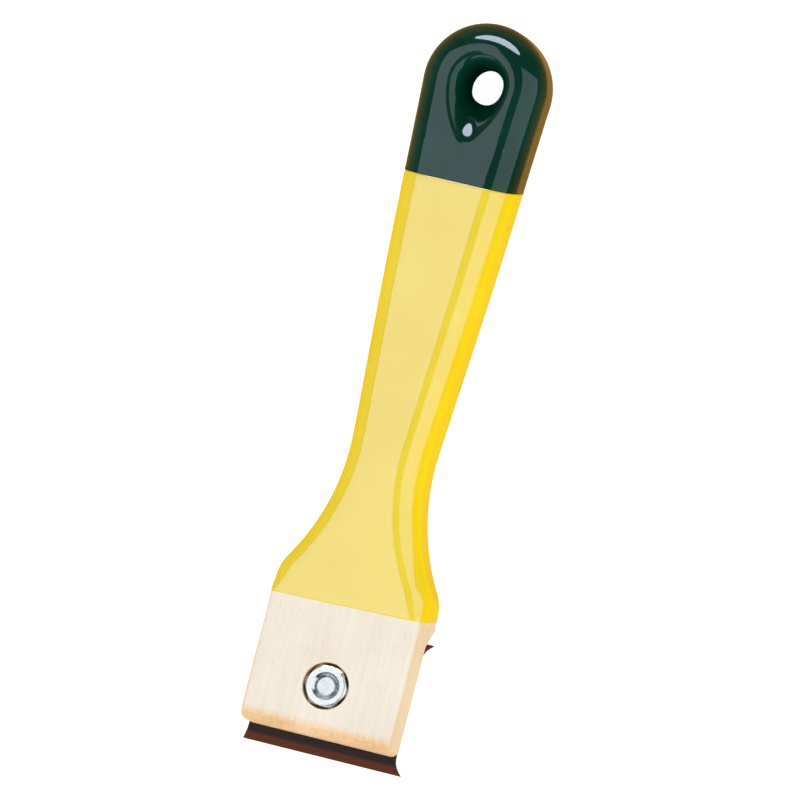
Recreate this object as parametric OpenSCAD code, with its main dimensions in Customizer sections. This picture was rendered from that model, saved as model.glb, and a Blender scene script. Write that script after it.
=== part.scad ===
// Pull scraper: a flat wooden handle with a lacquered grip and a dipped hanging end,
// and a reversible two-edge blade held under the head by one screw in a sunk nut.
// +Y runs from the blade to the hanging end, +Z is the face that shows the nut,
// and Z = 0 is the flat underside that the tool lies on.

/* [Overall] */
// front cutting edge to hanging end
overall_len = 203.2; // [180:0.1:230]
// thickness of the bare wood
stock_t = 22; // [19:0.1:25]
// thickness of each paint coat
film = 0.25; // [0.15:0.05:0.5]

/* [Head] */
// width of the wooden head
head_w = 42.6; // [38:0.1:46]
// screw axis to the front of the wood
head_front = 13.8; // [12.5:0.1:15]
// easing of the head's long edges
head_edge_r = 1.8; // [0.8:0.1:2.4]
// rounding of the top front edge
front_edge_r = 4.5; // [3:0.1:6]
// rounding of the front corners seen from above
front_corner_r = 2; // [1:0.1:3]
// rounding of the shoulders seen from above
shoulder_r = 10; // [8:0.5:14]

/* [Grip] */
// screw axis to the narrowest place
neck_at = 64.5; // [60:0.5:72]
// width at the narrowest place
neck_w = 21.5; // [19:0.1:26]
// hollow radius of the neck
neck_r = 62; // [55:1:75]
// swell of each side between neck and hanging end
grip_belly = 0.3; // [0:0.05:0.8]
// rounding of the grip's long edges at the neck
grip_edge_r = 6.4; // [5:0.1:8]
// length over which the rounding runs out at the shoulders
edge_run = 10; // [8:0.5:16]
// screw axis to the lacquer's front edge on the top face
paint_at = 22; // [21:0.1:25]
// lean of the lacquer's front edge down the sides
paint_lean = 5.8; // [0:0.1:8]
// turn of the lacquer's front edge seen from above
paint_skew = 1.7; // [-4:0.1:4]

/* [Hanging end] */
// width of the round end
butt_w = 33.8; // [30:0.1:38]
// rounding of the end's edges
butt_edge_r = 8; // [6.5:0.1:9]
// hanging end to the dip's edge on the top face
dip_len = 44.7; // [36:0.1:50]
// lean of the dip's edge down the sides
dip_lean = 7; // [0:0.1:8]
// turn of the dip's edge seen from above
dip_skew = 0.6; // [-4:0.1:4]
// diameter of the hanging hole
hang_d = 9.5; // [8:0.1:11]
// radius of the dished mouth on each face
dish_r = 8.6; // [7.6:0.1:9.6]
// depth of the dished mouth
dish_depth = 9.2; // [6:0.1:9.6]
// hole centre to the end of the dish's tail
tail_reach = 17.6; // [14:0.1:20]
// rounding of the tail's end
tail_r = 2.8; // [2:0.1:3.6]

/* [Blade] */
// width of the cutting edges
blade_w = 44.45; // [42:0.05:47]
// width between the edges
waist_w = 41.6; // [38:0.1:42.4]
// front edge to rear edge
blade_len = 36.4; // [34:0.1:39]
// sheet thickness
blade_t = 1.6; // [1.2:0.1:2]
// seat to the cutting edges
blade_drop = 7.1; // [6:0.1:7.4]
// slope of the turned-down lips
lip_a = 62; // [56:1:66]
// inner radius of the bends
bend_r = 4; // [3:0.1:5]
// hollow radius of the flared corners
ear_r = 7.4; // [5:0.1:10]

/* [Blade seat] */
// top face to the seat
seat_depth = 13.5; // [12.5:0.1:14.2]
// gap behind the rear cutting edge
lip_gap = 3.2; // [2.8:0.1:3.4]
// slope of the wall behind the blade
wall_a = 60; // [58:1:70]
// rounding between seat and wall
seat_fillet = 1.6; // [0.8:0.1:2]

/* [Clamp] */
// outer diameter of the screw thread
screw_d = 6.35; // [5.8:0.05:6.6]
// length of the screw under its head
screw_len = 15.9; // [14.5:0.1:16.3]
// radial gap between thread and nut
thread_gap = 0.05; // [0.02:0.01:0.1]
// radial gap of the screw holes in wood, blade and washer
hole_gap = 0.35; // [0.15:0.05:0.6]
// diameter of the screw head
screw_head_d = 12.6; // [11:0.1:14]
// height of the screw head
screw_head_h = 3.4; // [2.8:0.1:3.8]
// width of the driver slot
slot_w = 1.6; // [1.2:0.1:2]
// depth of the driver slot
slot_deep = 1.7; // [1.2:0.1:2]
// chamfer of the screw end
screw_tip = 0.8; // [0.5:0.1:1.2]
// outer diameter of the washer
washer_d = 15.9; // [14:0.1:18]
// thickness of the washer
washer_t = 1.6; // [1.2:0.1:2]

/* [Nut] */
// width across the flats
nut_af = 11.11; // [10.4:0.01:12]
// thickness of the nut
nut_t = 5.56; // [4.5:0.05:6.5]
// turn of the nut in its hole
nut_turn = -3.5; // [-30:0.5:30]
// chamfer of the nut's thread
nut_edge = 0.6; // [0.3:0.05:0.8]
// diameter of the nut's flat face inside its corner chamfer
nut_face_d = 10.55; // [9.8:0.05:11]
// slope of the chamfer on the nut's corners
nut_edge_a = 30; // [15:1:40]
// diameter of the hole sunk for the nut
sink_d = 12.7; // [12.4:0.1:13.6]
// face of the nut below the face of the wood
nut_sink = 0.3; // [0:0.05:0.6]

/* [Hidden] */
eps = 0.01;
// longer than any cut needs
big = 100;
// facets of each rounded edge
arc_n = 5;
// share of the end's width kept flat on top
crown = 0.1;
// facets from the hanging hole up to the rim of its dish
mouth_n = 5;
// how far the coats' rings lie past the edge they are cut to
lap = 6;
// angle where the round end is closed by a narrow face
end_a = 88;

// heights
z_mid = film + stock_t / 2;
z_top = film + stock_t;
z_seat = z_top - seat_depth;
z_nut = z_top - nut_sink;
z_blade = z_seat - blade_t;
z_washer = z_blade - washer_t;

// places along the handle, measured from the screw axis
y_screw = blade_len / 2 - overall_len / 2;
wood_end = overall_len - blade_len / 2 - film;
butt_r = butt_w / 2;
hang_at = wood_end - butt_r;
dip_at = wood_end + film - dip_len;
sweep_a = acos(1 - (head_w - neck_w) / 2 / (shoulder_r + neck_r));
shoulder_at = neck_at - (shoulder_r + neck_r) * sin(sweep_a);
join_at = shoulder_at + shoulder_r * sin(sweep_a);
neck_x = neck_w / 2 + neck_r;
taper_run = hang_at - neck_at;
taper_a = atan2(taper_run, neck_x) - acos((neck_r + butt_r) / norm([neck_x, taper_run]));
taper_at = neck_at + neck_r * sin(taper_a);
round_at = hang_at - butt_r * sin(taper_a);

// outline and edge rounding of the handle at u behind the screw axis
function ramp(t) = t <= 0 ? 0 : t >= 1 ? 1 : t * t * (3 - 2 * t);
function run_out(t) = t <= 0 ? 0 : t >= 1 ? 1 : t * (1.7 - 0.7 * t);
function belly(t) = 16 * grip_belly * t * t * (1 - t) * (1 - t);
function corner(u) = let(e = u + head_front)
    e >= front_corner_r ? 0
    : front_corner_r - sqrt(max(0, pow(front_corner_r, 2) - pow(front_corner_r - e, 2)));
function half_w(u) =
    u < shoulder_at ? head_w / 2 - corner(u) :
    u < join_at ? head_w / 2 - shoulder_r + sqrt(pow(shoulder_r, 2) - pow(u - shoulder_at, 2)) :
    u < taper_at ? neck_x - sqrt(pow(neck_r, 2) - pow(u - neck_at, 2)) :
    u < round_at ? neck_x - neck_r * cos(taper_a) + (u - taper_at) * tan(taper_a)
        + belly((u - taper_at) / (round_at - taper_at)) :
    sqrt(max(0, pow(butt_r, 2) - pow(u - hang_at, 2)));
function edge_r(u) = head_edge_r
    + (grip_edge_r - head_edge_r) * run_out((u - paint_at) / edge_run)
    + (butt_edge_r - grip_edge_r) * ramp((u - neck_at) / (hang_at - neck_at));
function front_drop(u) = let(e = u + head_front)
    e >= front_edge_r ? 0 : front_edge_r - sqrt(max(0, pow(front_edge_r, 2) - pow(front_edge_r - e, 2)));

// one cross section, grown by g, as points round the handle
function turn(u, g) = let(e = wood_end + g - u, r = edge_r(u) + g) e < r ? acos(1 - max(0, e) / r) : 90;
function sec_x(u, g, k) =
    let(a = turn(u, g) * k / arc_n, d = (edge_r(u) + g) * (1 - cos(a)), b = butt_r + g, s = u - hang_at)
    u <= hang_at ? half_w(u) + g - d
    : sqrt(max(0, pow(b - d, 2) - s * s) + (b * b - s * s) * pow(crown * k / arc_n, 2));
function sec_z(u, g, k) = let(a = turn(u, g) * k / arc_n) stock_t / 2 + g - (edge_r(u) + g) * (1 - sin(a));
function sec(u, g) = let(y = y_screw + u, f = front_drop(u)) concat(
    [for (k = [0 : arc_n]) [sec_x(u, g, k), y, z_mid + sec_z(u, g, k) - f]],
    [for (k = [arc_n : -1 : 0]) [-sec_x(u, g, k), y, z_mid + sec_z(u, g, k) - f]],
    [for (k = [0 : arc_n]) [-sec_x(u, g, k), y, z_mid - sec_z(u, g, k)]],
    [for (k = [arc_n : -1 : 0]) [sec_x(u, g, k), y, z_mid - sec_z(u, g, k)]]);
ring = 4 * (arc_n + 1);

// places of the cross sections
function stations(g) = concat(
    [for (j = [0 : 6]) front_edge_r * (1 - cos(15 * j)) - head_front],
    [for (j = [0 : 5]) paint_at - lap + (shoulder_at - paint_at + lap) * j / 5],
    [for (j = [1 : 5]) shoulder_at + (join_at - shoulder_at) * j / 5],
    [for (j = [1 : 12]) join_at + (taper_at - join_at) * j / 12],
    [for (j = [1 : 9]) taper_at + (hang_at - taper_at) * j / 9],
    [for (j = [1 : 11]) hang_at + (butt_r + g) * sin(end_a * j / 11)]);
function from(list, low, high) = [for (u = list) if (u >= low - eps && u <= high + eps) u];

// closed skins from rings of points
function wall(a, b, flip) = [for (j = [0 : ring - 1]) each let(p = a + j, q = a + (j + 1) % ring,
    r = b + (j + 1) % ring, s = b + j) flip ? [[p, r, q], [p, s, r]] : [[p, q, r], [p, r, s]]];
module skin(rings) {
    n = len(rings);
    polyhedron(points = [for (r = rings) each r], faces = concat(
        [[for (j = [ring - 1 : -1 : 0]) j]],
        [for (i = [0 : n - 2]) each wall(i * ring, (i + 1) * ring, false)],
        [[for (j = [0 : ring - 1]) (n - 1) * ring + j]]), convexity = 6);
}
module loft(us, g) {
    skin([for (u = us) sec(u, g)]);
}
module sleeve(us, g) {
    n = len(us);
    inner = n * ring;
    polyhedron(points = concat([for (u = us) each sec(u, g)], [for (u = us) each sec(u, 0)]), faces = concat(
        [for (i = [0 : n - 2]) each wall(i * ring, (i + 1) * ring, false)],
        [for (i = [0 : n - 2]) each wall(inner + i * ring, inner + (i + 1) * ring, true)],
        wall(0, inner, true), wall((n - 1) * ring, inner + (n - 1) * ring, false)), convexity = 8);
}

// the dished mouth of the hanging hole: its profile at t flares like a bell, and its rim is
// a circle drawn out to a tail towards the grip
function arc4(a, b, c, d, t) = let(s = 1 - t)
    a * s * s * s + 3 * b * t * s * s + 3 * c * t * t * s + d * t * t * t;
function mouth_out(t) = arc4(0, 0, 0.38, 1, t);
function mouth_up(t) = dish_depth * (arc4(0, 0.45, 1, 1, t) - 1);
function mouth_ring(t, g) = let(bore = hang_d / 2, s = mouth_out(t), r = bore + (dish_r - bore) * s + g,
    q = bore + (tail_r - bore) * s + g, d = (tail_reach - tail_r) * s)
    [for (j = [0 : ring - 1]) let(a = -360 * j / ring, tail = q - d * sin(a) > r)
        tail ? [q * cos(a), q * sin(a) - d, mouth_up(t)] : [r * cos(a), r * sin(a), mouth_up(t)]];
// its foot lies inside the hole, so that the two meet in a clean edge
function mouth_foot(g) = let(r = 0.93 * hang_d / 2 + g)
    [for (j = [0 : ring - 1]) let(a = -360 * j / ring) [r * cos(a), r * sin(a), -dish_depth]];
// the hanging hole with its mouth on both faces, grown by g
module hang_cut(g) {
    translate([0, y_screw + hang_at, z_mid]) {
        cylinder(h = big, r = hang_d / 2 + g, center = true);
        for (m = [0, 1]) mirror([0, 0, m]) translate([0, 0, stock_t / 2 + film - g])
            skin(concat([mouth_foot(g)], [for (j = [2 : mouth_n]) mouth_ring(j / mouth_n, g)],
                [[for (p = mouth_ring(1, g)) p + [0, 0, 1]]]));
    }
}

// everything in front of a paint edge, or behind it
module paint_side(u, lean, skew, back) {
    translate([0, y_screw + u, z_top]) rotate([lean, 0, skew])
        translate([-big, back ? 0 : -2 * big, -big]) cube(2 * big);
}

// the space under the head that takes the blade
module seat_cut() {
    at_edge = blade_len / 2 + lip_gap;
    at_seat = at_edge - blade_drop / tan(wall_a);
    at_foot = at_seat + (z_seat + big) / tan(wall_a);
    mid = at_seat - seat_fillet * tan(wall_a / 2);
    round_pts = [for (j = [0 : 6]) let(a = wall_a * j / 6)
        [mid + seat_fillet * sin(a), z_seat - seat_fillet + seat_fillet * cos(a)]];
    translate([-big, y_screw, 0]) rotate([90, 0, 90]) linear_extrude(height = 2 * big)
        polygon(concat([[-big, -big], [-big, z_seat]], round_pts, [[at_foot, -big]]));
}

// the nut's six sides, shared with its place in the wood
module nut_sides(h) {
    rotate([0, 0, nut_turn]) cylinder(h = h, r = nut_af / 2 / cos(30), $fn = 6);
}

module handle() {
    color([0.93, 0.84, 0.68]) difference() {
        loft(stations(0), 0);
        seat_cut();
        hang_cut(film);
        translate([0, y_screw, 0]) cylinder(h = big, r = screw_d / 2 + hole_gap, $fn = 48);
        translate([0, y_screw, z_nut - nut_t]) {
            cylinder(h = big, r = sink_d / 2, $fn = 72);
            nut_sides(big);
        }
    }
}

module grip_lacquer() {
    color([0.95, 0.79, 0.09]) difference() {
        sleeve(from(stations(0), paint_at - lap, dip_at + 2 * lap), film);
        paint_side(paint_at, paint_lean, paint_skew, false);
        paint_side(dip_at, dip_lean, dip_skew, true);
    }
}

module butt_dip() {
    color([0.04, 0.22, 0.12]) difference() {
        loft(from(stations(film), dip_at - 2 * lap, wood_end + film), film);
        paint_side(dip_at, dip_lean, dip_skew, false);
        hang_cut(0);
        difference() {
            loft(from(stations(0), dip_at - 4 * lap, wood_end), 0);
            hang_cut(film);
        }
    }
}

module hex_nut() {
    bore_r = screw_d / 2 + thread_gap;
    face_r = nut_face_d / 2;
    far_r = nut_af;
    rise = (far_r - face_r) * tan(nut_edge_a);
    color([0.8, 0.82, 0.84]) translate([0, y_screw, z_nut - nut_t]) difference() {
        intersection() {
            nut_sides(nut_t);
            rotate_extrude($fn = 72) polygon([[0, 0], [face_r, 0], [far_r, rise], [far_r, nut_t - rise],
                [face_r, nut_t], [0, nut_t]]);
        }
        rotate_extrude($fn = 72) polygon([[0, -1], [bore_r + nut_edge + 1, -1], [bore_r, nut_edge],
            [bore_r, nut_t - nut_edge], [bore_r + nut_edge + 1, nut_t + 1], [0, nut_t + 1]]);
    }
}

module clamp_screw() {
    head_r = screw_head_d / 2;
    rim_h = screw_head_h / 4;
    color([0.7, 0.72, 0.74]) translate([0, y_screw, z_washer]) difference() {
        rotate_extrude($fn = 72) polygon(concat([[0, screw_len], [screw_d / 2 - screw_tip, screw_len],
            [screw_d / 2, screw_len - screw_tip], [screw_d / 2, 0], [head_r, 0]],
            [for (a = [0 : 15 : 90]) [head_r * cos(a), -rim_h - (screw_head_h - rim_h) * sin(a)]]));
        translate([-slot_w / 2, -big, slot_deep - screw_head_h - big]) cube([slot_w, 2 * big, big]);
    }
}

module clamp_washer() {
    color([0.66, 0.68, 0.7]) translate([0, y_screw, z_washer]) difference() {
        cylinder(h = washer_t, r = washer_d / 2, $fn = 72);
        translate([0, 0, -1]) cylinder(h = big, r = screw_d / 2 + hole_gap, $fn = 48);
    }
}

// the blade's side view: flat, bends and lips, ground upright at both edges
module blade_side() {
    run = (blade_drop - blade_t - bend_r * (1 - cos(lip_a))) / tan(lip_a);
    flat = blade_len / 2 - bend_r * sin(lip_a) - run;
    out_r = bend_r + blade_t;
    steps = 12;
    ground = out_r * (1 - cos(lip_a)) + (blade_len / 2 - flat - out_r * sin(lip_a)) * tan(lip_a);
    half = concat(
        [for (j = [0 : steps]) let(a = lip_a * j / steps) [flat + out_r * sin(a), out_r * (cos(a) - 1)]],
        [[blade_len / 2, -ground], [blade_len / 2, -blade_drop]],
        [for (j = [steps : -1 : 0]) let(a = lip_a * j / steps)
            [flat + bend_r * sin(a), bend_r * (cos(a) - 1) - blade_t]]);
    polygon(concat(half, [for (i = [len(half) - 1 : -1 : 0]) [-half[i][0], half[i][1]]]));
}

module blade_plan() {
    ear = (blade_w - waist_w) / 2;
    notch = blade_len / 2 - sqrt(pow(ear_r, 2) - pow(ear_r - ear, 2));
    difference() {
        square([blade_w, blade_len], center = true);
        for (s = [-1, 1]) {
            translate([s * (waist_w + big) / 2, 0]) square([big, 2 * notch], center = true);
            for (t = [-1, 1]) translate([s * (waist_w / 2 + ear_r), t * notch]) circle(r = ear_r, $fn = 72);
        }
    }
}

module scraper_blade() {
    color([0.27, 0.14, 0.1]) translate([0, y_screw, 0]) difference() {
        intersection() {
            translate([-blade_w, 0, z_seat]) rotate([90, 0, 90])
                linear_extrude(height = 2 * blade_w) blade_side();
            translate([0, 0, -big]) linear_extrude(height = 2 * big) blade_plan();
        }
        cylinder(h = big, r = screw_d / 2 + hole_gap, $fn = 48);
    }
}

handle();
grip_lacquer();
butt_dip();
hex_nut();
clamp_screw();
clamp_washer();
scraper_blade();
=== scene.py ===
from math import acos, atan2, cos, floor, hypot, pi, radians, sin, sqrt, tan

import bmesh
import bpy
from mathutils import Matrix, Vector


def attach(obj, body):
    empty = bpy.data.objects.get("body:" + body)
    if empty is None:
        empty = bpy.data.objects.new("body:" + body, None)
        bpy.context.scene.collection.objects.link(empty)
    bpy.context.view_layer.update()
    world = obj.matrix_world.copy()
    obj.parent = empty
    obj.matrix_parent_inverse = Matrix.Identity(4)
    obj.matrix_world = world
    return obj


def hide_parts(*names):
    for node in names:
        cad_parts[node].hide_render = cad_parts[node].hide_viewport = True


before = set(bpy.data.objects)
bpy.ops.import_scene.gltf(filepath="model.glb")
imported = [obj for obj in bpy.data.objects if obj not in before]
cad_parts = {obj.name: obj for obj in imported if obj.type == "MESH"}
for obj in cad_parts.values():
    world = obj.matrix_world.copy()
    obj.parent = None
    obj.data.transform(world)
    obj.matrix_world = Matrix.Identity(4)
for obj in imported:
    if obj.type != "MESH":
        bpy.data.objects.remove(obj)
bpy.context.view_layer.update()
mm = 0.001
print("frame loaded with", len(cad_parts), "nodes")

# the stick that wood, lacquer and dip share; lengths in mm, "at" lengths run back from the screw's axis
stick = {
    "screwY": -83.4,
    "top": 22.25,
    "bottom": 0.25,
    "coat": 0.25,  # thickness of either paint
    "headHalf": 21.3,
    "headFront": 13.8,
    "headRound": 1.8,
    "frontRound": 4.5,
    "frontCorner": 2.0,
    "shoulder": 10.0,
    "neckAt": 64.5,
    "neckHalf": 10.75,
    "neckHollow": 62.0,
    "belly": 0.3,
    "gripRound": 6.4,
    "roundRun": 10.0,  # the long edges start to round over at the lacquer's edge
    "roundEase": 0.7,  # and do most of it early
    "paintAt": 22.0,
    "paintLean": tan(radians(5.8)),
    "paintSkew": tan(radians(1.7)),
    "dipAt": 140.3,
    "dipLean": tan(radians(7.0)),
    "dipSkew": tan(radians(0.6)),
    "holeAt": 167.85,
    "endRadius": 16.9,
    "endRound": 7.5,
    "roundSteps": 10,
    "topSteps": 24,
    "leanPasses": 6,
}
middle = (stick["top"] + stick["bottom"]) / 2
sideRadii = stick["shoulder"] + stick["neckHollow"]
sweep = acos(1 - (stick["headHalf"] - stick["neckHalf"]) / sideRadii)
shoulderAt = stick["neckAt"] - sideRadii * sin(sweep)
hollowAt = shoulderAt + stick["shoulder"] * sin(sweep)
neckCentre = stick["neckHalf"] + stick["neckHollow"]
taperRun = stick["holeAt"] - stick["neckAt"]
endRadii = stick["neckHollow"] + stick["endRadius"]
taper = atan2(taperRun, neckCentre) - acos(endRadii / hypot(neckCentre, taperRun))
taperAt = stick["neckAt"] + stick["neckHollow"] * sin(taper)
roundAt = stick["holeAt"] - stick["endRadius"] * sin(taper)


def clamp(t):
    return min(max(t, 0.0), 1.0)


def easeIn(t):
    t = clamp(t)
    return t * t * (3 - 2 * t)


def mix(a, b, t):
    return a + (b - a) * t


def mixSpot(a, b, t):
    return tuple(mix(p, q, t) for p, q in zip(a, b))


def evenly(low, high, steps, first=0):
    return [mix(low, high, k / steps) for k in range(first, steps + 1)]


def quarterDrop(depth, radius):  # how far a quarter round falls back, at a depth behind its start
    if depth >= radius:
        return 0.0
    return radius - sqrt(max(0.0, radius ** 2 - (radius - depth) ** 2))


def halfWidth(at):
    if at < shoulderAt:
        return stick["headHalf"] - quarterDrop(at + stick["headFront"], stick["frontCorner"])
    if at < hollowAt:
        return stick["headHalf"] - quarterDrop(stick["shoulder"] - (at - shoulderAt), stick["shoulder"])
    if at < taperAt:
        return neckCentre - sqrt(stick["neckHollow"] ** 2 - (at - stick["neckAt"]) ** 2)
    if at < roundAt:
        t = (at - taperAt) / (roundAt - taperAt)
        swell = 16 * stick["belly"] * t * t * (1 - t) ** 2  # 16 brings its middle to the full belly
        return neckCentre - stick["neckHollow"] * cos(taper) + (at - taperAt) * tan(taper) + swell
    return sqrt(max(0.0, stick["endRadius"] ** 2 - (at - stick["holeAt"]) ** 2))


def edgeRound(at):
    ease = stick["roundEase"]
    grip = clamp((at - stick["paintAt"]) / stick["roundRun"])
    grip = grip * (1 + ease - ease * grip)
    end = easeIn((at - stick["neckAt"]) / taperRun)
    return mix(stick["headRound"], stick["gripRound"], grip) + (stick["endRound"] - stick["gripRound"]) * end


# the step under the head that the blade seats in
seat = {
    "height": 8.75,
    "filletAt": 16.38,
    "fillet": 1.6,
    "wallSlope": radians(60),
    "wallFrom": 17.76,
    "wallTo": 22.21,
    "edge": 0.4,
    "edgeRun": 7.0,  # the low edges grow to the head's rounding over this depth
}


def undersideAt(at):
    depth = at - seat["filletAt"]
    if depth <= 0:
        return seat["height"]
    if at < seat["wallFrom"]:
        return seat["height"] - seat["fillet"] + sqrt(seat["fillet"] ** 2 - depth ** 2)
    if at < seat["wallTo"]:
        return stick["bottom"] + (seat["wallTo"] - at) * tan(seat["wallSlope"])
    return stick["bottom"]


def sectionSpots():  # each spot: share of the flats across and up, then a direction round the edge
    rounded = [radians(90 * k / stick["roundSteps"]) for k in range(stick["roundSteps"] + 1)]
    right = [(1, 0, 1, 0), (1, 0.5, 1, 0)] + [(1, 1, cos(a), sin(a)) for a in rounded]
    top = [(1 - 2 * k / stick["topSteps"], 1, 0, 1) for k in range(1, stick["topSteps"])]
    left = [(-across, level, -turnX, turnZ) for across, level, turnX, turnZ in reversed(right)]
    upper = right + top + left
    lower = [(across, -level, turnX, -turnZ) for across, level, turnX, turnZ in reversed(upper[1:-1])]
    return upper, upper + lower


upperSpots, spots = sectionSpots()


def section(at, grow, lean, skew):  # points round the stick; lean and skew follow a paint edge
    ring = []
    for across, level, turnX, turnZ in spots:
        place = at
        for trial in range(stick["leanPasses"]):  # a leaning section meets each point at its own place
            half = halfWidth(place) + grow
            high = stick["top"] + grow - quarterDrop(place + stick["headFront"], stick["frontRound"])
            low = undersideAt(place) - grow
            highRound = min(edgeRound(place) + grow, half)
            depth = (seat["height"] - low) / seat["edgeRun"]
            lowRound = highRound if depth > 1 else mix(seat["edge"], stick["headRound"], easeIn(depth))
            around = highRound if level >= 0 else lowRound
            x = across * (half - around) + around * turnX
            z = mix(low + lowRound, high - highRound, (level + 1) / 2) + around * turnZ
            place = at + (stick["top"] - z) * lean + x * skew
        ring.append(Vector((x, stick["screwY"] + place, z)) * mm)
    return ring


def coatSection(at, grow):  # leans and turns between the ways of the two paint edges
    t = clamp((at - stick["paintAt"]) / (stick["dipAt"] - stick["paintAt"]))
    lean = mix(stick["paintLean"], stick["dipLean"], t)
    skew = mix(stick["paintSkew"], stick["dipSkew"], t)
    return section(at, grow, lean, skew)


def startRing(bm, points):
    ring = bmesh.ops.create_circle(bm, segments=len(points), radius=mm)["verts"]
    for vert, point in zip(ring, points):
        vert.co = point
    return ring


def growRing(bm, ring, points, closed=True):
    ends = ring[1:] + ring[:1] if closed else ring[1:]
    edges = [bm.edges.get((a, b)) for a, b in zip(ring, ends)]
    grown = set(bmesh.ops.extrude_edge_only(bm, edges=edges)["geom"])
    made = []
    for vert, point in zip(ring, points):
        new = next(e.other_vert(vert) for e in vert.link_edges if e.other_vert(vert) in grown)
        new.co = point
        made.append(new)
    return made


def growRings(bm, ring, rings):
    for points in rings:
        ring = growRing(bm, ring, points)
    return ring


def closeRing(bm, ring, inset=0.0):
    face = bmesh.ops.contextual_create(bm, geom=ring)["faces"]
    if inset:
        bmesh.ops.inset_region(bm, faces=face, thickness=inset * mm, use_even_offset=True)


def loftClosed(bm, rings, endInset=0.0):  # with a face at both ends
    first = startRing(bm, rings[0])
    closeRing(bm, first)
    closeRing(bm, growRings(bm, first, rings[1:]), endInset)


def loftRound(bm, rings):  # back to its first ring
    growRings(bm, startRing(bm, rings[0]), rings[1:] + [rings[0]])


def addObject(bm, name):
    mesh = bpy.data.meshes.new(name)
    bm.to_mesh(mesh)
    bm.free()
    added = bpy.data.objects.new(name, mesh)
    bpy.context.scene.collection.objects.link(added)
    return added


def shadeSmooth(mesh, sharp):  # edges over this many degrees stay sharp
    mesh.polygons.foreach_set("use_smooth", [True] * len(mesh.polygons))
    mesh.set_sharp_from_angle(angle=radians(sharp))


weld = 0.004  # points closer than this are one


def finishPiece(bm, name, material, body, node, sharp):
    bmesh.ops.remove_doubles(bm, verts=bm.verts, dist=weld * mm)
    bmesh.ops.recalc_face_normals(bm, faces=bm.faces)
    piece = addObject(bm, name)
    mesh = piece.data
    shadeSmooth(mesh, sharp)
    mesh.materials.append(material)
    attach(piece, body)
    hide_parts(node)
    print("made", name, "with", len(mesh.polygons), "faces")
    return piece


def cutAway(piece, bm, sharp):  # takes a closed shape out of a piece for good
    bmesh.ops.recalc_face_normals(bm, faces=bm.faces)
    cutter = addObject(bm, "cutter")
    cutterMesh = cutter.data
    cut = piece.modifiers.new("cut", "BOOLEAN")
    cut.operation = "DIFFERENCE"
    cut.solver = "EXACT"
    cut.object = cutter
    bpy.context.view_layer.update()
    done = bpy.data.meshes.new_from_object(piece.evaluated_get(bpy.context.evaluated_depsgraph_get()))
    piece.modifiers.remove(cut)
    old = piece.data
    piece.data = done
    done.name = old.name
    bpy.data.meshes.remove(old)
    bpy.data.objects.remove(cutter)
    bpy.data.meshes.remove(cutterMesh)
    shadeSmooth(done, sharp)


def turnedRing(count, spotAt, turn=0.0):  # spotAt gives radius and height at an angle
    ring = []
    for k in range(count):
        a = 2 * pi * k / count + turn
        radius, height = spotAt(a)
        ring.append(Vector((radius * cos(a), radius * sin(a) + stick["screwY"], height)) * mm)
    return ring


def latheRing(radius, height, count, turn=0.0):
    return turnedRing(count, lambda a: (radius, height), turn)


def latheShape(profile, count):  # a closed turned shape on the screw's axis
    bm = bmesh.new()
    loftClosed(bm, [latheRing(radius, height, count) for radius, height in profile])
    return bm


# materials
def srgb(code):
    values = [int(code[k:k + 2], 16) / 255 for k in (1, 3, 5)]
    return tuple([v / 12.92 if v <= 0.04045 else ((v + 0.055) / 1.055) ** 2.4 for v in values] + [1.0])


def setInputs(tree, node, values=(), links=()):  # a node among the links stands for its first output
    for key, value in dict(values).items():
        node.inputs[key].default_value = value
    for key, source in dict(links).items():
        tree.links.new(getattr(source, "outputs", [source])[0], node.inputs[key])


# numbered inputs: MapRange 0 value, 1 and 2 its span, 3 and 4 the new span; Mix 0 share, 6 and 7 colours
def addNode(tree, kind, values=(), links=(), stops=(), **settings):
    node = tree.nodes.new("ShaderNode" + kind)
    for key, value in settings.items():
        setattr(node, key, value)
    setInputs(tree, node, values, links)
    for k, (position, code) in enumerate(stops):  # colours along a ramp
        element = node.color_ramp.elements[k] if k < 2 else node.color_ramp.elements.new(position)
        element.position = position
        element.color = srgb(code)
    return node


def newMaterial(name):
    material = bpy.data.materials.new(name)
    material.use_nodes = True
    tree = material.node_tree
    return material, tree, tree.nodes["Principled BSDF"], addNode(tree, "TexCoord").outputs["Object"]


def facing(tree, axis):  # how far a face points along an axis
    normal = addNode(tree, "TexCoord").outputs["Normal"]
    return addNode(tree, "SeparateXYZ", links={0: normal}).outputs[axis]


def faceLevel(tree):  # 1 on level faces, 0 on upright ones
    return addNode(tree, "Math", links={0: facing(tree, "Z")}, operation="ABSOLUTE")


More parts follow.
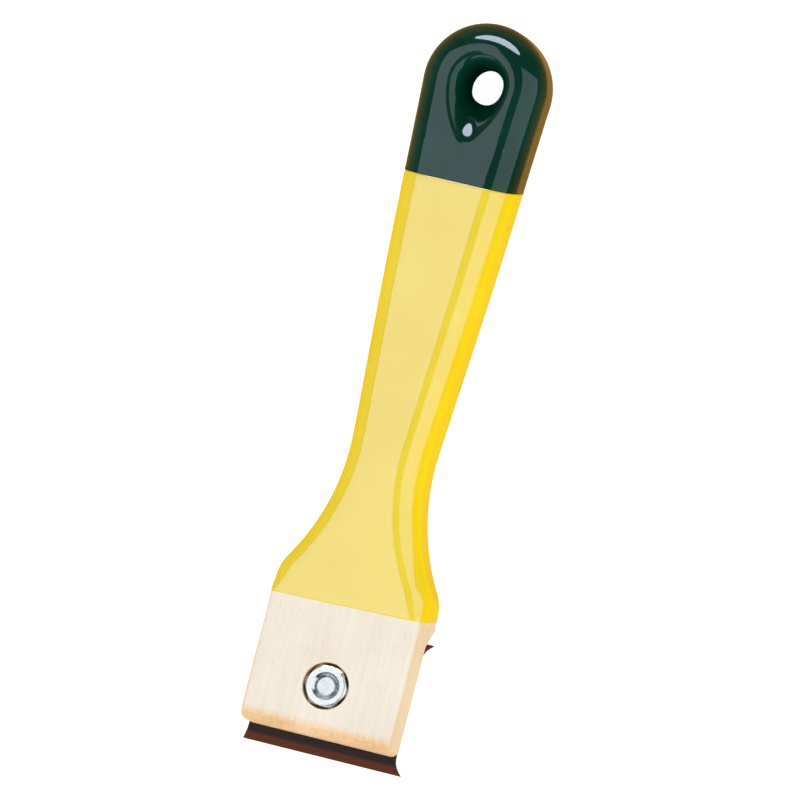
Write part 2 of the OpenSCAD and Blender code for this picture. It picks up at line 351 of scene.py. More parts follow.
# beech, planed and sanded: cream and matt, with fine straight grain and short flecks; tan on the upright
# sides is painted shade, and the warmer front is partly end grain, partly painted shade
def makeBeech():
    material, tree, shader, place = newMaterial("sandedBeech")
    grainScale = (1 / (0.9 * mm), 1 / (40 * mm), 1 / (0.9 * mm))
    grain = addNode(tree, "Mapping", {"Scale": grainScale}, {"Vector": place})
    lines = addNode(tree, "TexNoise", {"Scale": 1.0, "Detail": 4.0, "Distortion": 0.4}, {"Vector": grain})
    fleckScale = (1 / (0.5 * mm), 1 / (4 * mm), 1 / (0.5 * mm))
    fleckMap = addNode(tree, "Mapping", {"Scale": fleckScale}, {"Vector": place})
    flecks = addNode(tree, "TexNoise", {"Scale": 1.0, "Detail": 1.0}, {"Vector": fleckMap})
    bands = addNode(tree, "TexNoise", {"Scale": 1 / (14 * mm), "Detail": 2.0}, {"Vector": place})
    tone = addNode(tree, "Math", {1: 0.55}, {0: lines}, operation="MULTIPLY")
    tone = addNode(tree, "Math", {1: 0.45}, {0: bands, 2: tone}, operation="MULTIPLY_ADD")
    flat = addNode(tree, "ValToRGB", {}, {0: tone}, [(0.3, "#EADECA"), (0.5, "#EFE5D5"), (0.7, "#F3EBDD")])
    # tan copy of the wood for the upright sides: painted shade
    side = addNode(tree, "ValToRGB", {}, {0: tone}, [(0.3, "#DDBE90"), (0.5, "#E5CAA2"), (0.7, "#EBD4B4")])
    # warmer copy for faces turned to the front: partly end grain, partly painted shade
    cut = addNode(tree, "ValToRGB", {}, {0: tone}, [(0.3, "#E4B47C"), (0.5, "#EEC592"), (0.7, "#F4D4AB")])
    steepShadedShare = addNode(tree, "MapRange", {1: 0.9, 2: 0.45, 3: 0.0, 4: 1.0}, {0: faceLevel(tree)})
    frontEndGrainAndShade = addNode(tree, "MapRange", {1: -0.04, 2: -0.6, 3: 0.0, 4: 1.0}, {0: facing(tree, "Y")})
    dots = addNode(tree, "MapRange", {1: 0.64, 2: 0.72, 3: 0.0, 4: 0.16}, {0: flecks})
    colour = addNode(tree, "Mix", {}, {0: steepShadedShare, 6: flat, 7: side}, data_type="RGBA").outputs[2]
    colour = addNode(tree, "Mix", {}, {0: frontEndGrainAndShade, 6: colour, 7: cut}, data_type="RGBA").outputs[2]
    colour = addNode(tree, "Mix", {7: srgb("#C99A66")}, {0: dots, 6: colour}, data_type="RGBA").outputs[2]
    rough = addNode(tree, "MapRange", {1: 0.3, 2: 0.7, 3: 0.5, 4: 0.62}, {0: lines})
    bump = addNode(tree, "Bump", {"Strength": 0.12, "Distance": 0.05 * mm}, {"Height": lines})
    setInputs(tree, shader, {"IOR": 1.5}, {"Base Color": colour, "Roughness": rough, "Normal": bump})
    return material


# nitrocellulose lacquer over primer, sprayed thick: one wet, glossy yellow, painted paler on the level faces
# as sheen and a little deeper down the sides as shade
def makeYellowLacquer():
    material, tree, shader, place = newMaterial("yellowLacquer")
    clouds = addNode(tree, "TexNoise", {"Scale": 1 / (18 * mm), "Detail": 2.0}, {"Vector": place})
    # level faces get a paler yellow as painted sheen, steep faces a deeper one as painted shade
    face = addNode(tree, "ValToRGB", {}, {0: clouds}, [(0.3, "#F4D936"), (0.7, "#F8DF3E")])
    edge = addNode(tree, "ValToRGB", {}, {0: clouds}, [(0.3, "#F3CF0C"), (0.7, "#F7D514")])
    level = faceLevel(tree)
    steepShadedShare = addNode(tree, "MapRange", {1: 0.95, 2: 0.5, 3: 0.0, 4: 1.0}, {0: level})
    colour = addNode(tree, "Mix", {}, {0: steepShadedShare, 6: face, 7: edge}, data_type="RGBA").outputs[2]
    peelScale = (1 / (3.5 * mm), 1 / (16 * mm), 1 / (3.5 * mm))
    peel = addNode(tree, "Mapping", {"Scale": peelScale}, {"Vector": place})
    waves = addNode(tree, "TexNoise", {"Scale": 1.0, "Detail": 1.0}, {"Vector": peel})
    rough = addNode(tree, "MapRange", {1: 0.3, 2: 0.7, 3: 0.05, 4: 0.1}, {0: clouds})
    gloss = addNode(tree, "MapRange", {1: 0.35, 2: 0.8, 3: 0.3, 4: 1.0}, {0: level})  # settled on the flats
    bump = addNode(tree, "Bump", {"Strength": 0.03, "Distance": 0.05 * mm}, {"Height": waves})
    setInputs(tree, shader, {"IOR": 1.55, "Specular Tint": srgb("#A0ADFF")},
              {"Base Color": colour, "Roughness": rough, "Specular IOR Level": gloss, "Normal": bump})
    return material


# dipping enamel: thick, bottle green and mirror smooth, with olive brown on the upright sides as a painted
# reflection
def makeGreenDip():
    material, tree, shader, place = newMaterial("greenDipEnamel")
    clouds = addNode(tree, "TexNoise", {"Scale": 1 / (12 * mm), "Detail": 2.0}, {"Vector": place})
    face = addNode(tree, "ValToRGB", {}, {0: clouds}, [(0.3, "#042F22"), (0.7, "#073A2A")])
    # olive brown copy for the upright sides: painted reflection
    paintedWarmReflection = addNode(tree, "ValToRGB", {}, {0: clouds}, [(0.3, "#44360F"), (0.7, "#524115")])
    side = addNode(tree, "MapRange", {1: 0.6, 2: 0.1, 3: 0.0, 4: 0.7}, {0: faceLevel(tree)})
    holeAxis = (0, (stick["screwY"] + stick["holeAt"]) * mm, 0)
    away = addNode(tree, "VectorMath", {1: holeAxis}, {0: place}, operation="SUBTRACT")
    away = addNode(tree, "VectorMath", {1: (1, 1, 0)}, {0: away}, operation="MULTIPLY")
    away = addNode(tree, "VectorMath", {}, {0: away}, operation="LENGTH").outputs["Value"]
    # the painted reflection is kept out of the hole
    outside = addNode(tree, "Math", {1: 11 * mm}, {0: away}, operation="GREATER_THAN")  # not in the hole
    side = addNode(tree, "Math", {}, {0: side, 1: outside}, operation="MULTIPLY")
    colour = addNode(tree, "Mix", {}, {0: side, 6: face, 7: paintedWarmReflection}, data_type="RGBA").outputs[2]
    rough = addNode(tree, "MapRange", {1: 0.3, 2: 0.7, 3: 0.04, 4: 0.08}, {0: clouds})
    # the reflection is taken out of the hole, which paints shade there
    gloss = addNode(tree, "MapRange", {1: 6.3 * mm, 2: 7 * mm, 3: 0.0, 4: 0.5}, {0: away})  # dull in the hole
    waves = addNode(tree, "TexNoise", {"Scale": 1 / (7 * mm), "Detail": 1.0}, {"Vector": place})
    bump = addNode(tree, "Bump", {"Strength": 0.05, "Distance": 0.1 * mm}, {"Height": waves})
    setInputs(tree, shader, {"IOR": 1.45, "Specular Tint": srgb("#E1ECFF")},
              {"Base Color": colour, "Roughness": rough, "Specular IOR Level": gloss, "Normal": bump})
    return material


# bright zinc plate on steel: silvery, with faintly clouded crystals
def makeZinc(name, code, roughLow, roughHigh):
    material, tree, shader, place = newMaterial(name)
    cells = addNode(tree, "TexVoronoi", {"Scale": 1 / (1.1 * mm)}, {"Vector": place}).outputs["Distance"]
    clouds = addNode(tree, "TexNoise", {"Scale": 1 / (2.5 * mm), "Detail": 3.0}, {"Vector": place})
    tone = addNode(tree, "Math", {1: 0.35}, {0: cells, 2: clouds}, operation="MULTIPLY_ADD")
    colour = addNode(tree, "ValToRGB", {}, {0: tone}, [(0.35, code), (0.9, "#CDD3D6")])
    rough = addNode(tree, "MapRange", {1: 0.4, 2: 0.9, 3: roughLow, 4: roughHigh}, {0: tone})
    bump = addNode(tree, "Bump", {"Strength": 0.1, "Distance": 0.02 * mm}, {"Height": clouds})
    setInputs(tree, shader, {"Metallic": 1.0}, {"Base Color": colour, "Roughness": rough, "Normal": bump})
    return material


# spring steel, hardened and bronzed: purple black, darker towards the top as painted shade under the head,
# and reddish brown lower down towards the ground edges
def makeBronzedSteel():
    material, tree, shader, place = newMaterial("bronzedSteel")
    clouds = addNode(tree, "TexNoise", {"Scale": 1 / (5 * mm), "Detail": 4.0}, {"Vector": place})
    height = addNode(tree, "SeparateXYZ", links={0: place}).outputs["Z"]
    # darker near the top, where the wooden head shades the lip: painted shade
    drop = addNode(tree, "MapRange", {1: 8.1 * mm, 2: 7.3 * mm, 3: 0.0, 4: 0.6}, {0: height})
    toneAndHeadShade = addNode(tree, "Math", {1: 0.35}, {0: clouds, 2: drop}, operation="MULTIPLY_ADD")
    headShadeToBrown = [(0.1, "#1F1214"), (0.4, "#2C1817"), (0.65, "#532516"), (0.9, "#602C18")]
    colour = addNode(tree, "ValToRGB", {}, {0: toneAndHeadShade}, headShadeToBrown)
    strokeScale = (1 / (20 * mm), 1 / (0.35 * mm), 1 / (0.35 * mm))
    stroke = addNode(tree, "Mapping", {"Scale": strokeScale}, {"Vector": place})
    scratches = addNode(tree, "TexNoise", {"Scale": 1.0, "Detail": 2.0}, {"Vector": stroke})
    rough = addNode(tree, "MapRange", {1: 0.3, 2: 0.7, 3: 0.42, 4: 0.58}, {0: clouds})
    bump = addNode(tree, "Bump", {"Strength": 0.1, "Distance": 0.03 * mm}, {"Height": scratches})
    setInputs(tree, shader, {"Metallic": 0.2, "Specular IOR Level": 0.3},
              {"Base Color": colour, "Roughness": rough, "Normal": bump})
    return material


beech = makeBeech()
yellowLacquer = makeYellowLacquer()
greenDip = makeGreenDip()
zincNut = makeZinc("brightZincNut", "#A9B1B6", 0.16, 0.3)
zincScrew = makeZinc("brightZincScrew", "#A3ABB0", 0.2, 0.34)
zincWasher = makeZinc("brightZincWasher", "#9EA6AB", 0.24, 0.38)
bronzedSteel = makeBronzedSteel()
print("materials ready")

# hanging end: a dished hole in the round end, made for the wood and for both skins of the dip
hanging = {
    "bore": 4.75,
    "dish": 9.2,
    "tail": 3.4,
    "tailAt": 14.2,
    "tailCurve": 1.6,
    "throat": 3.5,
    "flare": 0.2,
    "lip": 3.2,
    "lipDrop": 3.4,
    "flatShare": 0.97,  # the dish ends inside the flat
    "rimSteps": 40,
    "dishSteps": 28,
    "flatSteps": 4,
    "edgeSteps": 14,
    "sideSteps": 14,
    "endSteps": 56,
    "halvings": 40,
}


def dishRim(back, grow):  # distance from the hole's centre to the dish's rim; back is the ray's share of Y
    best = 0.0
    for k in range(hanging["rimSteps"] + 1):
        t = k / hanging["rimSteps"]
        radius = mix(hanging["dish"], hanging["tail"], t ** hanging["tailCurve"]) + grow
        along = -back * hanging["tailAt"] * t
        inside = radius ** 2 - (hanging["tailAt"] * t) ** 2 + along ** 2
        if inside >= 0:
            best = max(best, along + sqrt(inside))
    return best


def edgeInset(x, back, grow):  # how far a place lies inside the outline, as a share of its edge rounding
    at = stick["holeAt"] + back
    around = edgeRound(at) + grow
    if back * cos(taper) + abs(x) * sin(taper) >= 0:
        return (stick["endRadius"] + grow - hypot(x, back)) / around
    return (halfWidth(at) + grow - abs(x)) * cos(taper) / around


def insetStretch(x, back, grow, wanted, near, far):  # halves a stretch of a ray down to a wanted inset
    for trial in range(hanging["halvings"]):
        place = (near + far) / 2
        if edgeInset(x * place, back * place, grow) > wanted:
            near = place
        else:
            far = place
    return near, far


def bezier(controls, t):
    while len(controls) > 1:
        controls = [mixSpot(a, b, t) for a, b in zip(controls, controls[1:])]
    return controls[0]


def rayProfile(anchor, grow, inGrow):  # points from the throat out to the anchor, heights from the middle
    x, back = anchor
    reach = hypot(x, back)
    x, back = x / reach, back / reach
    face = stick["top"] - middle + grow
    bore = hanging["bore"] + inGrow
    flatEnd = insetStretch(x, back, grow, 1, 0.0, reach)[0]
    start = min(dishRim(back, inGrow), hanging["flatShare"] * flatEnd)
    controls = [
        (bore, 0.0),
        (bore, hanging["throat"]),
        (mix(bore, start, hanging["flare"]), face - hanging["lipDrop"]),
        (start - hanging["lip"], face),
        (start, face),
    ]
    points = [bezier(controls, t) for t in evenly(0, 1, hanging["dishSteps"])]
    lastTurn = acos(1 - clamp(edgeInset(x * reach, back * reach, grow)))
    spread = evenly(start, flatEnd, hanging["flatSteps"], 1)
    for turn in evenly(pi / 2, lastTurn, hanging["edgeSteps"], 1):
        spread.append(insetStretch(x, back, grow, 1 - cos(turn), flatEnd, reach)[1])
    for k, place in enumerate(spread):
        place = mix(mix(start, reach, (k + 1) / len(spread)), place, cos(lastTurn))
        share = clamp(edgeInset(x * place, back * place, grow))
        around = edgeRound(stick["holeAt"] + back * place) + grow
        points.append((place, face - around + around * sqrt(max(0.0, 1 - (1 - share) ** 2))))
    return [(x * far, back * far, height) for far, height in points]


def sideSpots(side, backs, roundStart, t, grow):  # on the straight side, at the edge and at middle height
    places = [mix(back, roundStart, t) for back in backs]
    return tuple((side * (halfWidth(stick["holeAt"] + back) + grow), back) for back in places)


def makeHangingEnd(bm, join, grow, inGrow):  # closes the stick behind the section called join
    count = len(upperSpots)
    holeY = stick["screwY"] + stick["holeAt"]
    sideSteps, endSteps = hanging["sideSteps"], hanging["endSteps"]
    endWidth = stick["endRadius"] + grow
    roundStart = -endWidth * sin(taper)
    endTurn = pi + 2 * taper
    for up in (1, -1):
        edge = join[:count]
        if up == -1:
            edge = [join[0]] + [join[-k] for k in range(1, count - 1)] + [join[count - 1]]
        corners = edge[2:count - 2]  # without the points on the upright sides
        front = [(p.x / mm, p.y / mm - holeY) for p in corners]
        leftBacks = (front[-1][1], edge[-1].y / mm - holeY)
        rightBacks = (front[0][1], edge[0].y / mm - holeY)
        outline = []  # from left to right round the end, each spot with its twin at middle height
        for k in range(1, sideSteps):
            outline.append(sideSpots(-1, leftBacks, roundStart, k / sideSteps, grow))
        for k in range(endSteps + 1):
            a = pi + taper - endTurn * k / endSteps
            spot = (endWidth * cos(a), endWidth * sin(a))
            outline.append((spot, spot))
        for k in range(sideSteps - 1, 0, -1):
            outline.append(sideSpots(1, rightBacks, roundStart, k / sideSteps, grow))
        rays = [rayProfile(anchor, grow, inGrow) for anchor in front + [spot for spot, twin in outline]]
        rings = []
        for level in zip(*rays):
            rings.append([Vector((x, holeY + back, middle + up * height)) * mm for x, back, height in level])
        rings[-1][:len(front)] = corners
        rim = growRings(bm, startRing(bm, rings[0]), rings[1:])
        wall = rim[len(front) - 1:] + rim[:1]
        feet = [Vector((x, back + holeY, middle)) * mm for spot, (x, back) in outline]
        feet = [edge[-1]] + feet + [edge[0]]
        halfway = [(vert.co + foot) / 2 for vert, foot in zip(wall, feet)]
        halfway[0], halfway[-1] = edge[-2], edge[1]
        wall = growRing(bm, wall, halfway, closed=False)
        growRing(bm, wall, feet, closed=False)


# wooden handle
wood = {
    "frontInset": 0.5,
    "leanFrom": 40.0,
    "leanTo": 110.0,
    "sinkRadius": 6.35,
    "sinkFloor": 16.39,
    "screwHole": 3.525,
    "flare": 0.3,
    "cutBelow": 5.0,
    "cutAbove": 3.0,
    "cutCount": 96,
    "frontSteps": 15,
    "cornerSteps": 6,
    "headSteps": 20,
    "filletAngles": (10, 20, 30, 40, 50),
    "wallSteps": 6,
    "wallFoot": 0.01,
    "gripFrom": 23.0,
    "gripSteps": 70,
    "sharp": 35,
}


def makeWood():
    bm = bmesh.new()
    steps = [stick["frontRound"] * (1 - cos(radians(a))) for a in evenly(0, 90, wood["frontSteps"])]
    steps += [stick["frontCorner"] * (1 - cos(radians(a))) for a in evenly(0, 90, wood["cornerSteps"], 1)]
    places = sorted(step - stick["headFront"] for step in steps)
    places = [places[0]] + [b for a, b in zip(places, places[1:]) if b - a > weld]
    places += evenly(places[-1], seat["filletAt"], wood["headSteps"], 1)
    places += [seat["filletAt"] + seat["fillet"] * sin(radians(a)) for a in wood["filletAngles"]]
    places += evenly(seat["wallFrom"], seat["wallTo"], wood["wallSteps"])
    places += [seat["wallTo"] + wood["wallFoot"]]
    places += evenly(wood["gripFrom"], stick["dipAt"], wood["gripSteps"])
    rings = []
    for at in places:
        t = easeIn((at - wood["leanFrom"]) / (wood["leanTo"] - wood["leanFrom"]))
        rings.append(section(at, 0.0, t * stick["dipLean"], t * stick["dipSkew"]))
    first = startRing(bm, rings[0])
    closeRing(bm, first, wood["frontInset"])
    growRings(bm, first, rings[1:])
    makeHangingEnd(bm, rings[-1], 0.0, stick["coat"])
    piece = finishPiece(bm, "wooden_handle", beech, "handle_body", "handle", wood["sharp"])
    top, radius, flare = stick["top"], wood["sinkRadius"], wood["flare"]
    sink = [
        (wood["screwHole"], -wood["cutBelow"]),
        (wood["screwHole"], wood["sinkFloor"]),
        (radius, wood["sinkFloor"]),
        (radius, top - flare),
        (radius + 0.1 * flare, top - 0.4 * flare),  # the rim is eased in two steps
        (radius + 0.5 * flare, top),
        (radius + wood["cutAbove"], top + wood["cutAbove"]),
    ]
    cutAway(piece, latheShape(sink, wood["cutCount"]), wood["sharp"])


makeWood()

# yellow lacquer on the grip, its front edge feathered over a masking line
lacquer = {
    "frontEdge": [(0.0, 0.0), (0.15, 0.08), (0.45, 0.16), (0.8, 0.21)],  # way back and thickness
    "rearEdge": 0.06,
    "rearGap": 1.0,
    "fullFrom": 1.4,
    "shoulderTo": 44.0,
    "shoulderSteps": 30,
    "gripSteps": 60,
    "sharp": 50,
}


def makeLacquer():
    bm = bmesh.new()
    coat = stick["coat"]
    start, end = stick["paintAt"], stick["dipAt"]
    rings = [coatSection(start + at, thick) for at, thick in lacquer["frontEdge"]]
    places = evenly(start + lacquer["fullFrom"], lacquer["shoulderTo"], lacquer["shoulderSteps"])
    places += evenly(lacquer["shoulderTo"], end - lacquer["rearGap"], lacquer["gripSteps"], 1)
    rings += [coatSection(at, coat) for at in places]
    rings += [coatSection(end - lacquer["rearEdge"], coat), coatSection(end, coat - lacquer["rearEdge"])]
    rings += [coatSection(at, 0.0) for at in [end] + places[::-1]]
    loftRound(bm, rings)
    finishPiece(bm, "grip_coat", yellowLacquer, "handle_body", "grip_lacquer",
                lacquer["sharp"])


makeLacquer()

# green dip on the hanging end, with a soft bead where it stopped
dip = {
    "edge": [(0.0, 0.0), (0.0, 0.2), (0.06, 0.29), (0.25, 0.34), (0.55, 0.31), (1.0, 0.26)],
    "joinAt": 1.6,
    "sharp": 50,
}


def makeDip():
    bm = bmesh.new()
    coat = stick["coat"]
    joinAt = stick["dipAt"] + dip["joinAt"]
    outer = coatSection(joinAt, coat)
    inner = coatSection(joinAt, 0.0)
    bead = [coatSection(stick["dipAt"] + at, thick) for at, thick in dip["edge"]]
    growRings(bm, startRing(bm, inner), bead + [outer])
    makeHangingEnd(bm, outer, coat, 0.0)
    makeHangingEnd(bm, inner, 0.0, coat)
    finishPiece(bm, "hanging_end_dip", greenDip, "handle_body", "butt_dip", dip["sharp"])


makeDip()

# screw and nut share one thread
thread = {
    "pitch": 1.27,
    "outer": 3.175,
    "depth": 0.72,
    "gap": 0.05,
    "crest": 0.14,  # shares of half a pitch
    "flank": 0.62,
    "steps": 12,
}


def threadRadius(angle, height):
    phase = height / thread["pitch"] - angle / (2 * pi)
    phase = abs(2 * (phase - floor(phase)) - 1)  # 1 on the root, 0 on the crest
    return thread["outer"] - thread["depth"] * clamp((phase - thread["crest"]) / thread["flank"])


screw = {
    "end": 21.45,
    "face": 2.375,
    "seatZ": 5.55,
    "headRadius": 6.3,
    "rim": 0.85,
    "headHeight": 3.4,
    "domeAngles": (2, 8, 16, 25, 35, 45, 55, 65, 74, 82, 90),
    "slotWidth": 1.6,
    "slotDepth": 1.7,
    "cutLength": 20.0,
    "cutHeight": 10.0,
    "edge": 0.2,
    "neck": 0.25,
    "endInset": 0.25,
    "threadFrom": 6.3,
    "fadePitches": 2,
    "count": 72,
    "sharp": 38,
}


def screwThreadRing(height):
    fade = easeIn((height - screw["threadFrom"]) / (screw["fadePitches"] * thread["pitch"]))
    tip = screw["face"] + (screw["end"] - height)  # 45 degree point

    def spotAt(a):
        return min(mix(thread["outer"], threadRadius(a, height), fade), tip), height

    return turnedRing(screw["count"], spotAt)


def makeScrew():
    bm = bmesh.new()
    edge, neck = screw["edge"], screw["neck"]
    radius, seatZ, outer = screw["headRadius"], screw["seatZ"], thread["outer"]
    dome = screw["headHeight"] - screw["rim"]
    low = seatZ - screw["rim"]
    profile = [(radius * sin(radians(a)), low - dome * cos(radians(a))) for a in screw["domeAngles"]]
    profile += [(radius, seatZ - edge), (radius - edge, seatZ), (outer + neck, seatZ), (outer, seatZ + neck)]
    rings = [latheRing(far, height, screw["count"]) for far, height in profile]
    step = thread["pitch"] / thread["steps"]
    levels = int((screw["end"] - screw["threadFrom"]) / step)
    rings += [screwThreadRing(screw["threadFrom"] + step * k) for k in range(levels + 1)]
    rings.append(screwThreadRing(screw["end"]))
    loftClosed(bm, rings, screw["endInset"])
    piece = finishPiece(bm, "machine_screw", zincScrew, "screw_body", "clamp_screw",
                        screw["sharp"])
    slot = bmesh.new()
    bmesh.ops.create_cube(slot, size=1.0)
    slotTop = seatZ - screw["headHeight"] + screw["slotDepth"]
    slotSize = Vector((screw["slotWidth"], screw["cutLength"], screw["cutHeight"])) * mm
    slotPlace = Vector((0, stick["screwY"], slotTop - screw["cutHeight"] / 2)) * mm
    bmesh.ops.scale(slot, vec=slotSize, verts=slot.verts)
    bmesh.ops.translate(slot, vec=slotPlace, verts=slot.verts)
    cutAway(piece, slot, screw["sharp"])


makeScrew()

nut = {
    "top": 21.95,
    "thick": 5.56,
    "flats": 5.555,  # half the width across flats
    "turn": radians(-3.5),
    "face": 5.275,
    "chamfer": radians(30),
    "edge": 0.12,
    "mouth": 0.6,
    "nudge": 1e-9,  # keeps each corner within one flat
    "count": 96,
    "sharp": 32,
}


def hexRing(height, up, inward):  # up is 1 at the top and -1 at the bottom, where the corners fall away
    def spotAt(a):
        part = (a + nut["nudge"] - nut["turn"]) % (pi / 3) - pi / 6
        radius = nut["flats"] / cos(part)
        fall = max(0.0, radius - nut["face"]) * tan(nut["chamfer"])
        return radius - inward, height - up * fall

    return turnedRing(nut["count"], spotAt, nut["turn"])


def faceRing(radius, height):
    return latheRing(radius, height, nut["count"], nut["turn"])


def nutThreadRing(height, mouth):
    def spotAt(a):
        return max(threadRadius(a, height) + thread["gap"], mouth), height

    return turnedRing(nut["count"], spotAt, nut["turn"])


def makeNut():
    bm = bmesh.new()
    top, face, edge = nut["top"], nut["face"], nut["edge"]
    low = top - nut["thick"]
    inside = thread["outer"] + thread["gap"] + nut["mouth"]
    outside = face - edge
    faceDrop = 0.3 * edge  # these two soften the rim of the face
    cornerRise = 0.4 * edge
    radii = (inside, inside + edge, outside - edge, outside)
    rings = [faceRing(radius, top) for radius in radii]
    rings += [faceRing(face, top - faceDrop), hexRing(top + cornerRise, 1, edge), hexRing(top - edge, 1, 0)]
    rings += [hexRing(low + edge, -1, 0), hexRing(low - cornerRise, -1, edge)]
    rings += [faceRing(face, low + faceDrop)]
    rings += [faceRing(radius, low) for radius in reversed(radii)]
    levels = int(nut["thick"] / (thread["pitch"] / thread["steps"]))
    for k in range(1, levels + 1):
        height = low + nut["thick"] * k / (levels + 1)
        rings.append(nutThreadRing(height, inside - min(height - low, top - height)))
    loftRound(bm, rings)
    finishPiece(bm, "sunk_hex_nut", zincNut, "handle_body", "hex_nut", nut["sharp"])


makeNut()

washer = {
    "low": 5.55,
    "thick": 1.6,
    "radius": 7.95,
    "hole": 3.525,
    "edge": 0.3,
    "burr": 0.1,
    "count": 96,
    "sharp": 32,
}


def makeWasher():
    bm = bmesh.new()
    low, high = washer["low"], washer["low"] + washer["thick"]
    edge, radius, hole, burr = washer["edge"], washer["radius"], washer["hole"], washer["burr"]
    soft = 0.3 * edge
    profile = [
        (hole, low + edge / 2),
        (hole + edge / 2, low),
        (radius - soft, low),
        (radius, low + soft),
        (radius, high - edge),
        (radius - soft, high - soft),
        (radius - edge, high),
        (hole + burr, high),
        (hole, high - burr),
    ]
    loftRound(bm, [latheRing(far, height, washer["count"]) for far, height in profile])
    finishPiece(bm, "flat_washer", zincWasher, "clamp_body", "clamp_washer", washer["sharp"])


makeWasher()

# blade: one sheet with both ends turned down, flared at the four corners
blade = {
    "seatZ": 8.75,
    "thick": 1.6,
    "flat": 12.87,
    "bend": 4.0,
    "slope": radians(62),
    "half": 18.2,
    "waist": 20.8,
    "notchAt": 13.83,
    "ear": 7.4,
    "edge": 0.18,
    "flatRows": (0, 2, 3.6, 5, 7, 9, 11),
    "bendSteps": 14,
    "lipSteps": 6,
    "acrossSteps": 28,
    "hole": 3.525,
    "holeFrom": 4.0,
    "holeTo": 12.0,
    "holeCount": 72,
    "sharp": 30,
}


def bladeHalfWidth(along):
    past = abs(along) - blade["notchAt"]
    if past <= 0:
        return blade["waist"]
    return blade["waist"] + blade["ear"] - sqrt(blade["ear"] ** 2 - past ** 2)


def bladeSide():  # pairs of outer and inner points, from the middle to one edge
    thick, bend, flat = blade["thick"], blade["bend"], blade["flat"]
    pairs = [((y, 0.0), (y, -thick)) for y in blade["flatRows"]]
    outer = bend + thick
    for k in range(blade["bendSteps"] + 1):
        a = blade["slope"] * k / blade["bendSteps"]
        outSpot = (flat + outer * sin(a), outer * (cos(a) - 1))
        inSpot = (flat + bend * sin(a), bend * (cos(a) - 1) - thick)
        pairs.append((outSpot, inSpot))
    last = pairs[-1]
    ends = [(blade["half"], z - (blade["half"] - y) * tan(blade["slope"])) for y, z in last]
    for k in range(1, blade["lipSteps"] + 1):
        pairs.append(tuple(mixSpot(spot, end, k / blade["lipSteps"]) for spot, end in zip(last, ends)))
    return pairs


def makeBlade():
    bm = bmesh.new()
    side = bladeSide()
    pairs = [((-a[0], a[1]), (-b[0], b[1])) for a, b in reversed(side[1:])] + side
    across = [2 * k / blade["acrossSteps"] - 1 for k in range(blade["acrossSteps"] + 1)]
    edge = blade["edge"]
    share = edge / blade["thick"]
    rings = []
    for outer, inner in pairs:
        outHalf, inHalf = bladeHalfWidth(outer[0]), bladeHalfWidth(inner[0])
        rim = [(mix(outHalf, inHalf, t), mixSpot(outer, inner, t)) for t in (share, 0.5, 1 - share)]
        row = [(s * (outHalf - edge), outer) for s in across] + rim
        row += [(-s * (inHalf - edge), inner) for s in across] + [(-x, spot) for x, spot in reversed(rim)]
        ring = []
        for x, (along, height) in row:
            ring.append(Vector((x, stick["screwY"] + along, blade["seatZ"] + height)) * mm)
        rings.append(ring)
    loftClosed(bm, rings)
    piece = finishPiece(bm, "two_edge_blade", bronzedSteel, "blade_body", "scraper_blade",
                        blade["sharp"])
    hole = [(blade["hole"], blade["holeFrom"]), (blade["hole"], blade["holeTo"])]
    cutAway(piece, latheShape(hole, blade["holeCount"]), blade["sharp"])


makeBlade()

# floor, lights and camera
studio = {"floorZ": -2.6, "floorSize": 6.0, "floorGlow": 0.96, "lampDistance": 1.2}


def makeFloor():
    bm = bmesh.new()
    bmesh.ops.create_grid(bm, x_segments=2, y_segments=2, size=studio["floorSize"] / 2)
    bmesh.ops.translate(bm, vec=(0, 0, studio["floorZ"] * mm), verts=bm.verts)
    floorPiece = addObject(bm, "studio_floor")
    material, tree, shader, place = newMaterial("whitePaper")
    shade = addNode(tree, "TexNoise", {"Scale": 1 / (300 * mm)}, {"Vector": place})
    paper = addNode(tree, "ValToRGB", {}, {0: shade}, [(0.3, "#9C9C9B"), (0.7, "#A0A0A0")])
    glow = {"Emission Color": (1, 1, 1, 1), "Emission Strength": studio["floorGlow"]}  # like a light table
    setInputs(tree, shader, {"Roughness": 0.9, **glow}, {"Base Color": paper})
    floorPiece.data.materials.append(material)
    floorPiece.visible_glossy = False  # the gloss mirrors the lamps and the world only


def makeWorld():  # a warm bench, darker on the right
    world = bpy.data.worlds.new("studio")
    bpy.context.scene.world = world
    world.use_nodes = True
    sky = world.node_tree
    toward = addNode(sky, "SeparateXYZ", links={0: addNode(sky, "TexCoord").outputs["Generated"]})
    height = addNode(sky, "MapRange", {1: -1.0, 2: 1.0}, {0: toward.outputs["Z"]})
    bench = [(0.4, "#C29448"), (0.5, "#B4A284"), (0.6, "#8E8C86"), (0.75, "#5C5C5E")]
    glow = addNode(sky, "ValToRGB", {}, {0: height}, bench)
    right = addNode(sky, "MapRange", {1: 0.3, 2: 0.6}, {0: toward.outputs["X"]})
    glow = addNode(sky, "Mix", {7: srgb("#3A3C32")}, {0: right, 6: glow}, data_type="RGBA").outputs[2]
    setInputs(sky, sky.nodes["Background"], links={"Color": glow})


# each light: degrees from overhead to the right and to the hanging end, size in m, radiance
lights = {
    "overhead": {"right": -31, "back": -4, "width": 1.0, "length": 1.44, "radiance": 2.02},
    "rightCard": {"right": 53, "back": -2, "width": 1.6, "length": 1.6, "radiance": 1.65},
    "farLamp": {"right": -6, "back": 55, "width": 1.0, "length": 0.5, "radiance": 13.0,
                "shape": "ELLIPSE", "level": True, "diffuse": False},  # shows in the gloss only
    "frontFill": {"right": -5, "back": -62, "width": 1.2, "length": 0.5, "radiance": 1.6, "level": True},
    "sideFill": {"right": 78, "back": 0, "width": 0.9, "length": 1.6, "radiance": 0.35, "glossy": False},
    "leftFill": {"right": -80, "back": 0, "width": 0.7, "length": 1.6, "radiance": 0.9, "glossy": False},
}


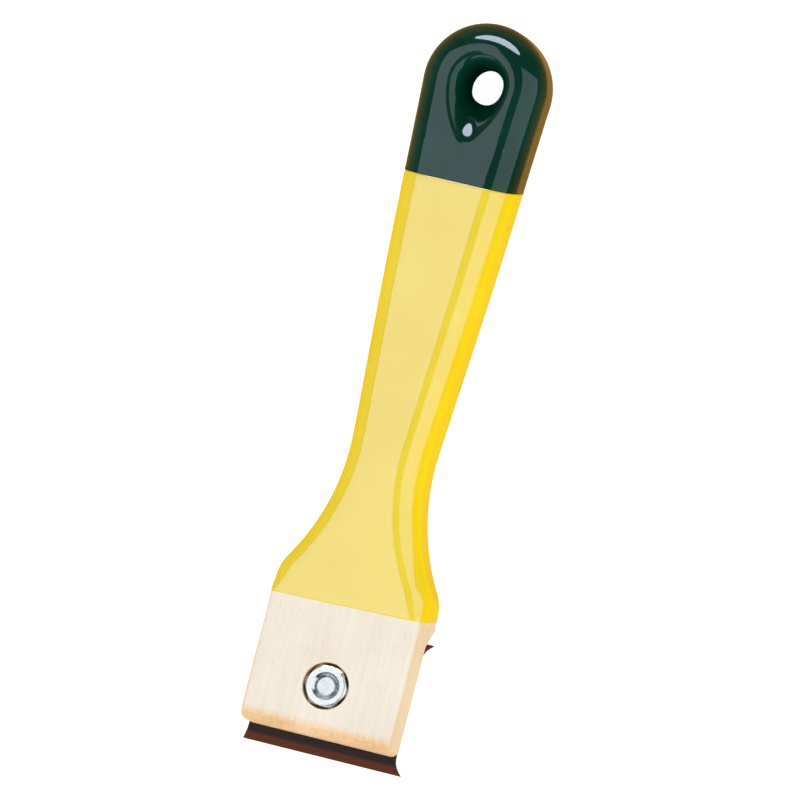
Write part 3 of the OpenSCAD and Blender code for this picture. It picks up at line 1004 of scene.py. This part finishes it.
def makeLights():
    aim = Vector((0, 0, middle * mm))
    for name, light in lights.items():
        lamp = bpy.data.lights.new(name, "AREA")
        lamp.shape = light.get("shape", "RECTANGLE")
        lamp.size, lamp.size_y = light["width"], light["length"]
        lamp.energy = light["radiance"] * pi * light["width"] * light["length"]
        away = Vector((tan(radians(light["right"])), tan(radians(light["back"])), 1)).normalized()
        side = Vector((0, 1, 0)).cross(away).normalized()
        if light.get("level"):  # its width lies level
            side = Vector((1, 0, 0))
        turn = Matrix((side, away.cross(side).normalized(), away)).transposed()
        lampObject = bpy.data.objects.new(name, lamp)
        lampObject.matrix_world = Matrix.Translation(aim + away * studio["lampDistance"]) @ turn.to_4x4()
        lampObject.visible_camera = False
        lampObject.visible_diffuse = light.get("diffuse", True)
        lampObject.visible_glossy = light.get("glossy", True)
        bpy.context.scene.collection.objects.link(lampObject)


makeFloor()
makeWorld()
makeLights()
print("floor and lights ready")

# the nut's centre sets the frame; pixels of an 800 pixel square, lengths in mm
photo = {
    "tiltRight": 11.9,
    "tiltFront": 3.0,
    "roll": 14.43,
    "pixels": 800,
    "pixelsPerMm": 3.716,
    "nutX": 325.6,
    "nutY": 686.0,
    "distance": 5000.0,
    "sensor": 36,
    "clip": (0.1, 30),  # in m
}


def makeCamera():
    tiltX, tiltY = sin(radians(photo["tiltRight"])), -sin(radians(photo["tiltFront"]))
    toCamera = Vector((tiltX, tiltY, sqrt(1 - tiltX ** 2 - tiltY ** 2)))
    along = Vector((0, 1, 0))
    along = (along - toCamera * along.dot(toCamera)).normalized()
    up = Matrix.Rotation(radians(photo["roll"]), 3, toCamera) @ along
    right = up.cross(toCamera)
    scale = photo["pixelsPerMm"]
    centre = photo["pixels"] / 2
    target = Vector((0, stick["screwY"], nut["top"]))
    target += right * ((centre - photo["nutX"]) / scale) + up * ((photo["nutY"] - centre) / scale)
    data = bpy.data.cameras.new("camera")
    data.sensor_width = photo["sensor"]
    data.lens = photo["sensor"] * photo["distance"] * scale / photo["pixels"]
    data.clip_start, data.clip_end = photo["clip"]
    camera = bpy.data.objects.new("camera", data)
    turn = Matrix((right, up, toCamera)).transposed()
    camera.matrix_world = Matrix.Translation((target + toCamera * photo["distance"]) * mm) @ turn.to_4x4()
    bpy.context.scene.collection.objects.link(camera)
    bpy.context.scene.camera = camera


makeCamera()
bpy.context.scene.view_settings.view_transform = "Standard"
bpy.context.scene.view_settings.look = "None"
bpy.context.view_layer.update()
